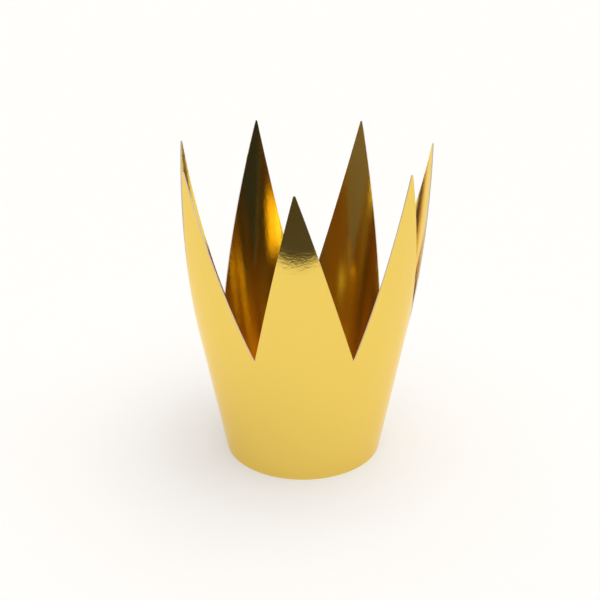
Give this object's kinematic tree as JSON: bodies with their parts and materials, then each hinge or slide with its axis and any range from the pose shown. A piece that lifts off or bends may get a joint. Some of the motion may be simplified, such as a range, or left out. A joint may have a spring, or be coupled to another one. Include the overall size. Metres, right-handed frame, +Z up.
{
  "type": "paper crown",
  "caption": "Small party crown of gold foil card: one sheet with long pointed spikes, rolled into a flaring ring and lapped at the rear, with a punched hole at each side.",
  "frame": {"origin": "centre of the ring at its base edge, on the ring's axis", "axes": "+Z up along the ring's axis, towards the spikes' tips; -Y is the front, where one spike points; the lapped seam is at the rear, towards +Y; +X is the side with the right punched hole"},
  "size_m": [0.096, 0.0937, 0.12],
  "materials": {
    "gold_foil_card": "mirror gold foil laminated on both faces of thin pale card"
  },
  "bodies": {
    "root": {"crown": "gold_foil_card"}
  },
  "joints": []
}
